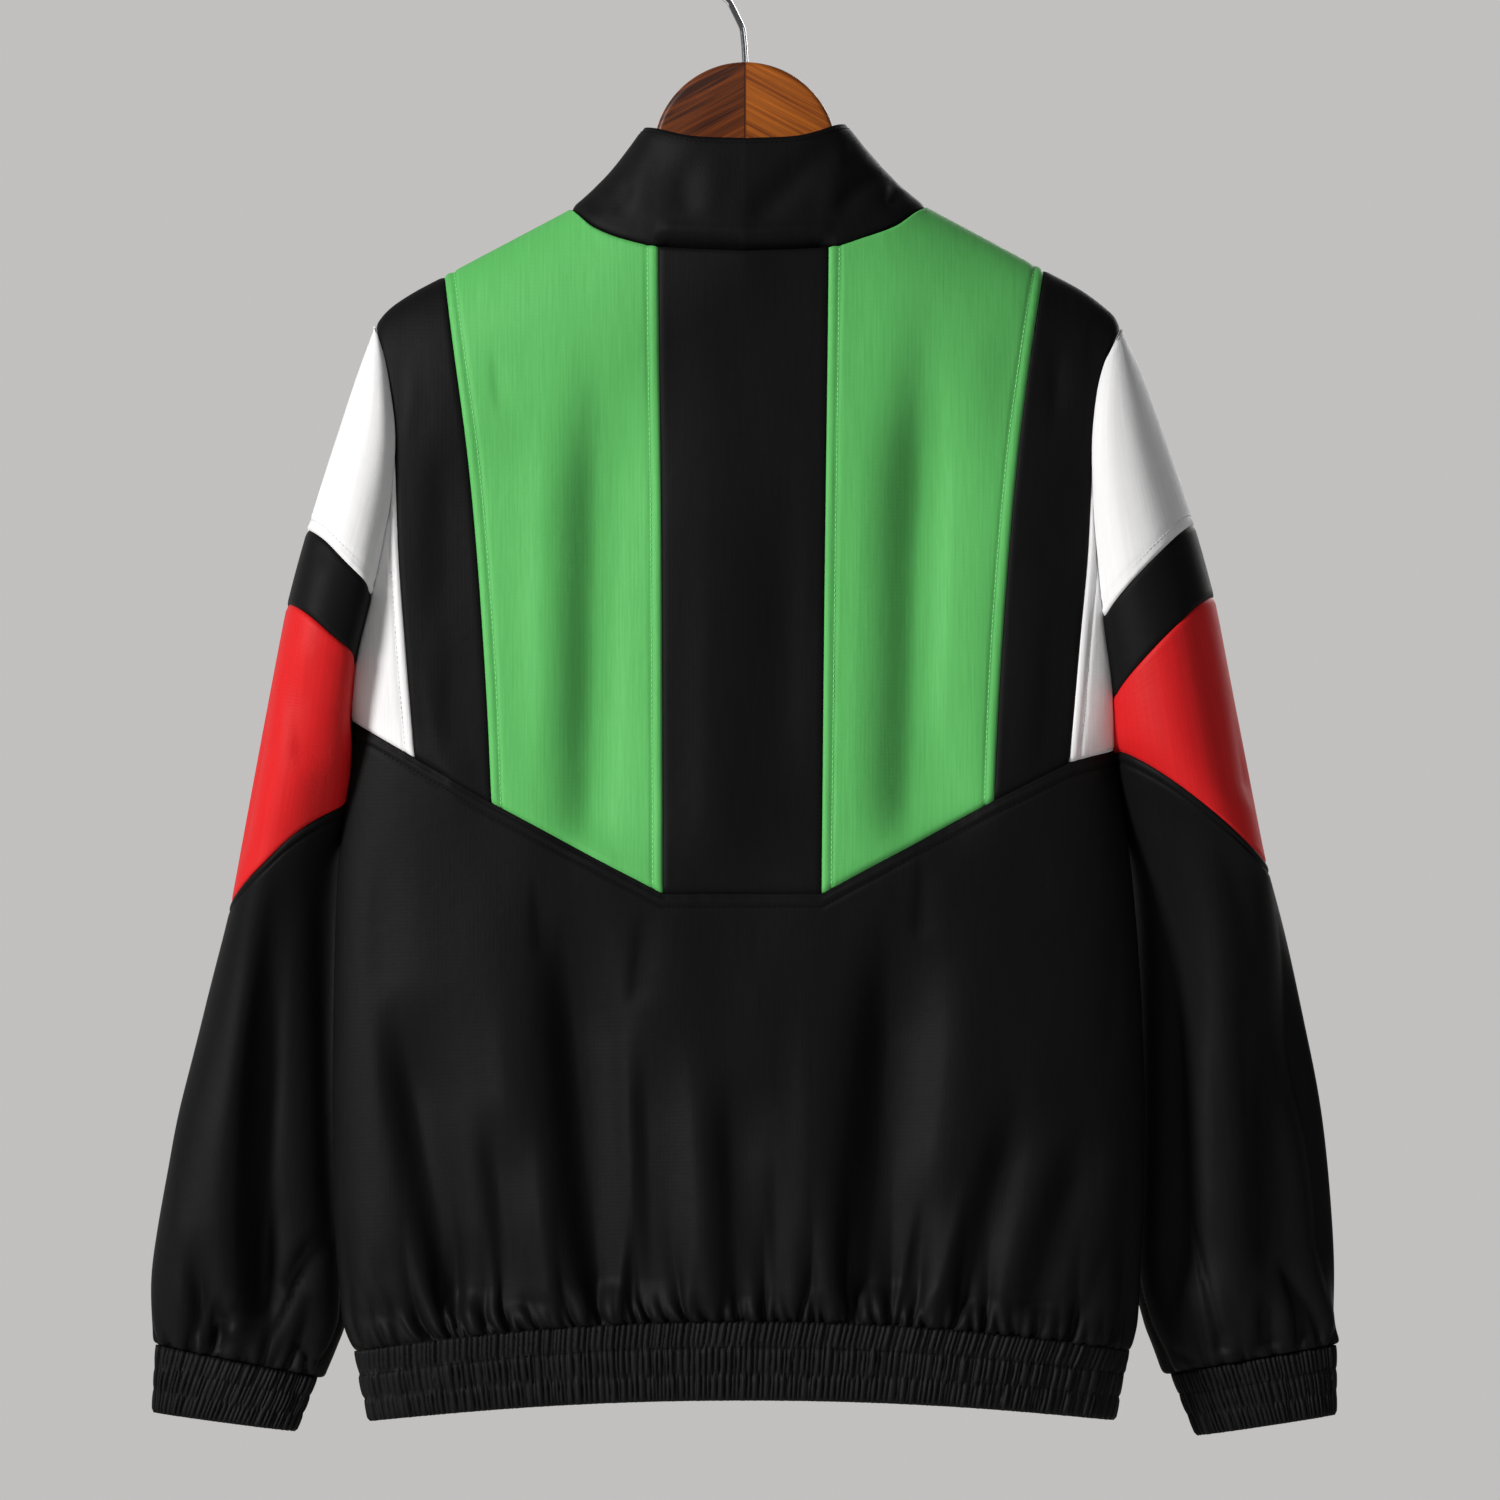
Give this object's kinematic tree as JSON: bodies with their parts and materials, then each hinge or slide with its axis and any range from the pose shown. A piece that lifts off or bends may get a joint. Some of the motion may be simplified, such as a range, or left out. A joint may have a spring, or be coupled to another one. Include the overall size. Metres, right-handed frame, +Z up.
{
  "type": "windbreaker on a wooden hanger",
  "caption": "Colour-blocked zip-up windbreaker with stand collar, gathered elastic hem and cuffs, hanging on a wooden hanger by its wire hook.",
  "frame": {"origin": "inside top of the hook's bend, where a rail carries it", "axes": "+Z up, +Y to the garment's back, +X to the wearer's left"},
  "size_m": [0.7138, 0.1354, 0.899],
  "materials": {
    "black_cloth": "soft sheen woven polyester",
    "black_doubled_cloth": "doubled woven polyester, shirred over elastic at hem and cuffs",
    "green_cloth": "soft sheen woven polyester",
    "white_cloth": "soft sheen woven polyester",
    "red_cloth": "soft sheen woven polyester",
    "zip_tape": "matt woven tape",
    "zip_plastic": "moulded plastic",
    "stained_wood": "reddish brown stain under satin varnish",
    "chromed_wire": "bright chromed steel wire"
  },
  "bodies": {
    "jacket": {"back_centre": "black_cloth", "back_green_left": "green_cloth", "back_green_right": "green_cloth", "back_strip_left": "black_cloth", "back_strip_right": "black_cloth", "back_white_left": "white_cloth", "back_white_right": "white_cloth", "lower_back": "black_cloth", "front_centre_left": "black_cloth", "front_centre_right": "black_cloth", "front_green_left": "green_cloth", "front_green_right": "green_cloth", "front_strip_left": "black_cloth", "front_strip_right": "black_cloth", "front_white_left": "white_cloth", "front_white_right": "white_cloth", "lower_front_left": "black_cloth", "lower_front_right": "black_cloth", "hem_band": "black_doubled_cloth", "sleeve_white_left": "white_cloth", "sleeve_white_right": "white_cloth", "sleeve_band_left": "black_cloth", "sleeve_band_right": "black_cloth", "sleeve_red_left": "red_cloth", "sleeve_red_right": "red_cloth", "sleeve_lower_left": "black_cloth", "sleeve_lower_right": "black_cloth", "cuff_left": "black_doubled_cloth", "cuff_right": "black_doubled_cloth", "collar": "black_doubled_cloth", "zip_tape_left": "zip_tape", "zip_tape_right": "zip_tape", "zip_chain": "zip_plastic", "zip_slider": "zip_plastic", "hanger_left": "stained_wood", "hanger_right": "stained_wood", "hanger_hook": "chromed_wire"},
    "pull_tab": {"zip_pull": "zip_plastic"}
  },
  "joints": [
    {"name": "pull_tab_hinge", "type": "hinge", "parent": "jacket", "child": "pull_tab", "pos_m": [0, -0.0536, -0.1761], "axis": [-1, 0, 0], "range_deg": [0, 160]}
  ]
}
